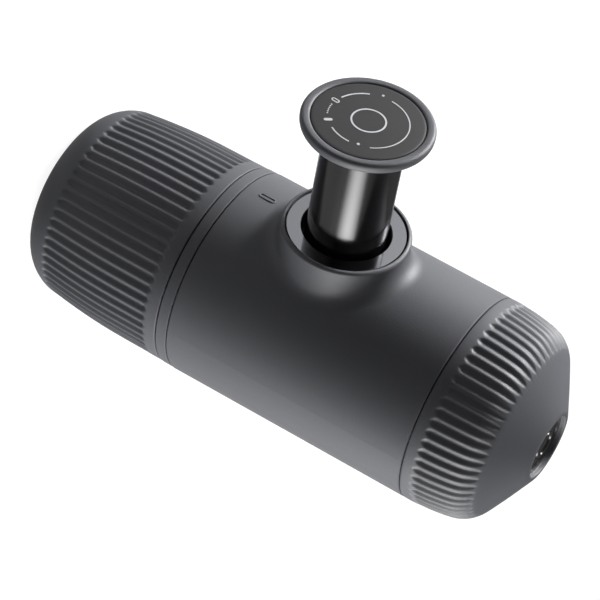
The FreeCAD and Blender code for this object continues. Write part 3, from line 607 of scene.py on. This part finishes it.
def make_lugs():
    """Four low lugs on the portafilter's collar that turn into the barrel's lock."""
    lugs = []
    for turn in (20, 110, 200, 290):
        lug = chain(f"lug_{turn}", [(27.9, 55.2), (28.34, 55.4), (28.34, 57.2),
                                    (27.9, 57.4), (27.9, 55.2)], turn)
        merge_seams(lug)
        edit(lug)
        bpy.ops.mesh.spin(steps=6, angle=math.radians(18), center=(0, 0, 0),
                          axis=(0, 0, 1))
        leave_edit()
        choose_rims(lug, lambda place: True)
        bpy.ops.mesh.fill_holes(sides=0)
        leave_edit()
        merge_seams(lug)
        lugs.append(lug)
    piece = lugs[0]
    join(piece, lugs[1:])
    piece.name = piece.data.name = "lock_lugs"
    smooth(piece)
    finish_with(piece, SATIN)
    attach(piece, "portafilter")


SPRING_START = 17.7
SPRING_LENGTH = 45.8
SPRING_TURNS = 12
WIRE_RADIUS = 0.45
COIL_RADIUS = 5.55


def make_spring():
    """The return spring, a fixed coil; the real one is pushed to about a quarter of its
    length as the pump is pressed.
    """
    wire = arc(COIL_RADIUS, SPRING_START + WIRE_RADIUS, WIRE_RADIUS, 0, 360, 8)
    piece = chain("return_coil", wire)
    merge_seams(piece)
    use_modifier(piece, "SCREW", angle=2 * math.pi,
                 screw_offset=SPRING_LENGTH / 1000 / SPRING_TURNS,
                 iterations=SPRING_TURNS, steps=24, render_steps=24)
    choose_rims(piece, lambda place: True)
    bpy.ops.mesh.fill_holes(sides=0)
    leave_edit()
    merge_seams(piece)
    onto_pump(piece)
    smooth(piece, 60)
    finish_with(piece, STEEL)
    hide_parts("return_spring")
    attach(piece, "main_body")
    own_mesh(piece)


# The plain edge of a pierced sheet, which is let into its rim
SHEET_EDGE = 1.1
FILTER_PLACE = 19


def pierced_sheet(name, reach, clear, spacing, margin, level, thickness):
    """A round sheet of square cells with a rounded hole in each.

    The cells nearer the middle than clear stay whole, and so do those at the edge.
    """
    cells = 2 * math.ceil(reach / spacing)
    deselect()
    bpy.ops.mesh.primitive_grid_add(x_subdivisions=cells, y_subdivisions=cells,
                                    size=cells * spacing / 1000)
    piece = bpy.context.object
    piece.name = piece.data.name = name
    choose_faces(piece, lambda centre: centre.xy.length > reach)
    bpy.ops.mesh.delete(type="FACE")
    leave_edit()
    choose_faces(piece, lambda centre: clear < centre.xy.length < reach - SHEET_EDGE)
    bpy.ops.mesh.inset(thickness=margin / 1000, use_individual=True)
    bpy.ops.mesh.delete(type="FACE")
    leave_edit()
    use_modifier(piece, "SUBSURF", levels=1, render_levels=1)
    use_modifier(piece, "SOLIDIFY", thickness=thickness / 1000, offset=0)
    lift(piece, level)
    return piece


def make_strainers():
    """Pressed steel with a pierced middle: shower screen, basket and inlet filter."""
    screen = turned("screen_rim", [(19.6, 58.4), (22.6, 58.4), (22.6, 59.2), (19.6, 59.2)],
                    loop=True, bevel=0.15)
    sheets = [pierced_sheet("screen_sheet", 20.6, 3.0, 1.7, 0.45, 58.8, 0.5)]
    basket = turned(
        "basket_wall",
        [(19.6, 46.2), (22.05, 46.2)] + arc(22.05, 47.7, 1.5, -90, 0, 6)
        + [(23.55, 56.2), (23.75, 56.43), (25.65, 56.43), (25.65, 57.17), (23.25, 57.17),
           (22.95, 56.9)] + arc(22.05, 47.7, 0.9, 0, -90, 6) + [(19.6, 46.8)],
        steps=120, loop=True)
    sheets += [pierced_sheet("basket_sheet", 20.6, 0.0, 1.5, 0.48, 46.5, 0.4)]
    strainer = turned("strainer_rim", [(3.6, 110.1), (5, 110.1), (5, 110.9), (4.6, 111.5),
                                       (3.6, 111.6)], steps=48, loop=True)
    sheets += [pierced_sheet("strainer_sheet", 4.3, 0.0, 0.8, 0.2, 111.3, 0.25)]
    for piece, sheet, node, body in ((screen, sheets[0], "shower_screen", "main_body"),
                                     (basket, sheets[1], "filter_basket", "filter_basket"),
                                     (strainer, sheets[2], "inlet_filter", "main_body")):
        join(piece, [sheet])
        if piece is strainer:
            piece.location.y = FILTER_PLACE / 1000
            fix_place(piece)
        smooth(piece)
        finish_with(piece, STEEL)
        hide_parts(node)
        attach(piece, body)


make_cup()
make_tank()
make_threads()
make_lugs()
make_spring()
make_strainers()
make_portafilter()
make_knob()
make_knob_marks()
make_lock_mark()
# The nodes that keep their own mesh
for names, material in (
        (("body_shell",), SATIN),
        (("piston_sleeve",), GLOSS_BLACK),
        (("piston_collar",), SMOKED_CHROME),
        (("outlet_head", "pump_frame", "pump_cylinder", "cylinder_cap", "plunger_rod"),
         INNER),
        (("outlet_seal", "crema_valve", "nozzle", "group_gasket", "outlet_valve",
          "inlet_valve", "air_valve", "collar_wiper", "piston_seal", "tank_seal"),
         RUBBER),
        (("screen_screw", "deck_screws"), STEEL)):
    for node_name in names:
        finish_with(NODES[node_name], material)


# Studio -----------------------------------------------------------------------------

def make_camera():
    """156 mm lens about 0.75 m away, rolled so that the maker lies across the frame."""
    data = bpy.data.cameras.new("camera")
    camera = bpy.data.objects.new("camera", data)
    bpy.context.scene.collection.objects.link(camera)
    right = Vector((-0.53319, -0.13671, 0.83487)).normalized()
    look = Vector((-0.65861, 0.68647, -0.30821)).normalized()
    up = look.cross(right) * -1
    turn = Matrix((right, up, -look)).transposed().to_4x4()
    camera.matrix_world = Matrix.Translation((0.47215, -0.49600, 0.29709)) @ turn
    data.lens = 156
    data.sensor_width = 36
    data.clip_start = 0.05
    bpy.context.scene.camera = camera
    return camera


def make_floor():
    """Pale paper that glows to white for the eye and in gloss, but throws back little.

    In gloss it is bright under the maker and dims towards the camera, as a table with a
    dark room beyond it does.
    """
    deselect()
    bpy.ops.mesh.primitive_plane_add(size=12)
    floor = bpy.context.object
    floor.name = "floor"
    material, tree, shader, place = new_material("Pale backdrop paper", "6C6C6C", 0.9)
    path = add(tree, "ShaderNodeLightPath")
    spot = add(tree, "ShaderNodeSeparateXYZ", [(place, 0)])
    along = add(tree, "ShaderNodeMath", [(spot.outputs["X"], 0), (spot.outputs["Y"], 1)],
                operation="SUBTRACT")
    card = ramp(tree, along.outputs[0], 0.4, 0.05, 0.10, 0.22)
    gloss = add(tree, "ShaderNodeMath", [(path.outputs["Is Glossy Ray"], 0), (card, 1)],
                operation="MULTIPLY")
    level = add(tree, "ShaderNodeMath",
                [(path.outputs["Is Camera Ray"], 0), (gloss.outputs[0], 2)],
                operation="MULTIPLY_ADD")
    level.inputs[1].default_value = 0.92
    glow = add(tree, "ShaderNodeEmission", [(level.outputs[0], "Strength")])
    both = add(tree, "ShaderNodeAddShader",
               [(shader.outputs[0], 0), (glow.outputs[0], 1)])
    tree.links.new(both.outputs[0], tree.nodes["Material Output"].inputs[0])
    finish_with(floor, material)


# The wall's top edge, as the upward part of a direction
WALL_TOP = 0.72


def make_world():
    """White for the eye, a white wall behind the maker in gloss, and a dim room.

    The room is lit a little more from above, up to half of white overhead.
    """
    world = bpy.data.worlds.new("studio")
    bpy.context.scene.world = world
    world.use_nodes = True
    tree = world.node_tree
    tree.nodes.clear()
    path = add(tree, "ShaderNodeLightPath")
    way = add(tree, "ShaderNodeTexCoord")
    split = add(tree, "ShaderNodeSeparateXYZ", [(way.outputs["Generated"], 0)])
    back = ramp(tree, split.outputs["Y"], 0.03, 0.6, 0.2, 0.6)
    side = ramp(tree, split.outputs["X"], 0.0, 1.0, -0.35, 0.0)
    below = add(tree, "ShaderNodeMath", [(split.outputs["Z"], 0)], operation="LESS_THAN")
    below.inputs[1].default_value = WALL_TOP
    wall = path.outputs["Is Glossy Ray"]
    for factor in (back, side, below.outputs[0]):
        wall = add(tree, "ShaderNodeMath", [(wall, 0), (factor, 1)],
                   operation="MULTIPLY").outputs[0]
    fill = ramp(tree, split.outputs["Z"], 0.05, 0.5, 0.0, 1.05)
    dim = add(tree, "ShaderNodeMath", [(wall, 0), (fill, 1)], operation="MAXIMUM")
    level = add(tree, "ShaderNodeMath",
                [(dim.outputs[0], 0), (path.outputs["Is Camera Ray"], 1)],
                operation="MAXIMUM")
    sky = add(tree, "ShaderNodeBackground", [(level.outputs[0], "Strength")])
    add(tree, "ShaderNodeOutputWorld", [(sky.outputs[0], 0)])


LAMP_TARGET = (0, 0, 0.08)


def softbox(name, place, size, watts, spot, edge):
    """A soft lamp, brightest at its middle and fading over spot metres to its dim edge."""
    data = bpy.data.lights.new(name, "AREA")
    data.shape = "RECTANGLE"
    data.size, data.size_y = size
    data.energy = watts
    lamp = bpy.data.objects.new(name, data)
    bpy.context.scene.collection.objects.link(lamp)
    aim = Vector(LAMP_TARGET) - Vector(place)
    lamp.location = place
    lamp.rotation_euler = aim.to_track_quat("-Z", "Y").to_euler()
    lamp.visible_camera = False
    data.use_nodes = True
    tree = data.node_tree
    where = add(tree, "ShaderNodeNewGeometry").outputs["Parametric"]
    centred = add(tree, "ShaderNodeVectorMath", [(where, 0)], operation="SUBTRACT")
    centred.inputs[1].default_value = (0.5, 0.5, 0)
    spread = add(tree, "ShaderNodeVectorMath", [(centred.outputs[0], 0)],
                 operation="MULTIPLY")
    spread.inputs[1].default_value = (size[0], size[1], 0)
    far = add(tree, "ShaderNodeVectorMath", [(spread.outputs[0], 0)], operation="LENGTH")
    fade = ramp(tree, far.outputs["Value"], 1.0, edge, 0.0, spot, kind="SMOOTHSTEP")
    tree.links.new(fade, tree.nodes["Emission"].inputs["Strength"])


make_camera()
make_floor()
make_world()
softbox("left softbox", (-0.64, -0.41, 0.36), (0.50, 0.50), 100, 0.21, 0.01)
softbox("right softbox", (0.42, 0.60, 0.29), (0.80, 0.60), 37, 0.37, 0.02)
bpy.context.scene.view_settings.view_transform = "Standard"
